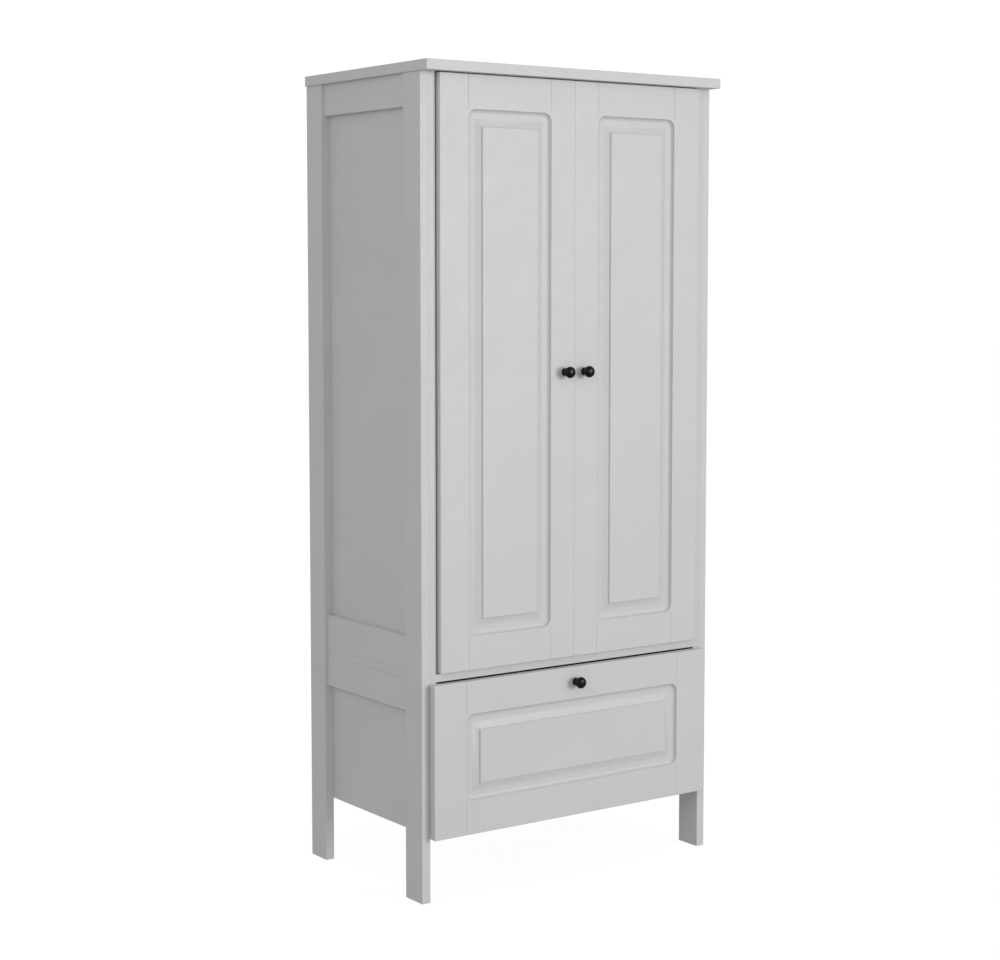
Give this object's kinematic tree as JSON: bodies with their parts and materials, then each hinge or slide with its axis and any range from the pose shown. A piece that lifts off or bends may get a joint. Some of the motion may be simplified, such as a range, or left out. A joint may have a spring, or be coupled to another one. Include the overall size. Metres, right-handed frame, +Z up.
{
  "type": "wardrobe with doors",
  "caption": "Tall free-standing wardrobe with panelled hinged doors over a wide drawer, a hat shelf and a clothes rail, on plain legs.",
  "frame": {"origin": "on the floor, under the middle of the whole wardrobe's box, knobs counted", "axes": "+Z up, the doors and the drawer face -Y, +X to the right of someone who stands in front"},
  "size_m": [0.78, 0.5044, 1.745],
  "materials": {
    "paint": "satin light grey lacquer sprayed on smooth fibreboard",
    "hardboard": "thin fibreboard, painted light grey on its smooth side",
    "drawer_board": "foil-wrapped board in light grey",
    "black": "satin black lacquer on turned knobs",
    "nickel": "pressed steel with bright nickel plating",
    "zinc": "folded steel with pale zinc plating",
    "chrome": "polished chrome plating"
  },
  "bodies": {
    "carcass": {"top_panel": "paint", "post_front_left": "paint", "post_front_right": "paint", "post_back_left": "paint", "post_back_right": "paint", "top_rail_left": "paint", "top_rail_right": "paint", "waist_rail_upper_left": "paint", "waist_rail_upper_right": "paint", "waist_rail_lower_left": "paint", "waist_rail_lower_right": "paint", "side_board_upper_left": "paint", "side_board_upper_right": "paint", "side_board_lower_left": "paint", "side_board_lower_right": "paint", "floor_board": "paint", "back_panel_upper": "hardboard", "back_panel_lower": "hardboard", "stretcher_front": "paint", "stretcher_back": "paint", "door_stop_rail": "paint", "hat_shelf": "paint", "shelf_pin_front_left": "nickel", "shelf_pin_front_right": "nickel", "shelf_pin_back_left": "nickel", "shelf_pin_back_right": "nickel", "clothes_rail": "chrome", "rail_socket_left": "chrome", "rail_socket_right": "chrome", "hinge_arm_left_bottom": "nickel", "hinge_arm_left_middle": "nickel", "hinge_arm_left_top": "nickel", "hinge_arm_right_bottom": "nickel", "hinge_arm_right_middle": "nickel", "hinge_arm_right_top": "nickel", "runner_fixed_left": "zinc", "runner_fixed_right": "zinc"},
    "door_left": {"door_left": "paint", "knob_door_left": "black", "knob_screw_door_left": "zinc", "hinge_cup_left_bottom": "nickel", "hinge_cup_left_middle": "nickel", "hinge_cup_left_top": "nickel"},
    "door_right": {"door_right": "paint", "knob_door_right": "black", "knob_screw_door_right": "zinc", "hinge_cup_right_bottom": "nickel", "hinge_cup_right_middle": "nickel", "hinge_cup_right_top": "nickel"},
    "drawer": {"drawer_front": "paint", "drawer_side_left": "drawer_board", "drawer_side_right": "drawer_board", "drawer_back": "drawer_board", "drawer_bottom": "hardboard", "knob_drawer": "black", "knob_screw_drawer": "zinc", "runner_moving_left": "zinc", "runner_moving_right": "zinc"}
  },
  "joints": [
    {"name": "door_left_hinge", "type": "hinge", "parent": "carcass", "child": "door_left", "pos_m": [-0.3338, -0.20825, 1.1035], "axis": [0, 0, -1], "range_deg": [0, 95]},
    {"name": "door_right_hinge", "type": "hinge", "parent": "carcass", "child": "door_right", "pos_m": [0.3338, -0.20825, 1.1035], "axis": [0, 0, 1], "range_deg": [0, 95]},
    {"name": "drawer_slide", "type": "slide", "parent": "carcass", "child": "drawer", "axis": [0, -1, 0], "range_m": [0, 0.3]}
  ]
}
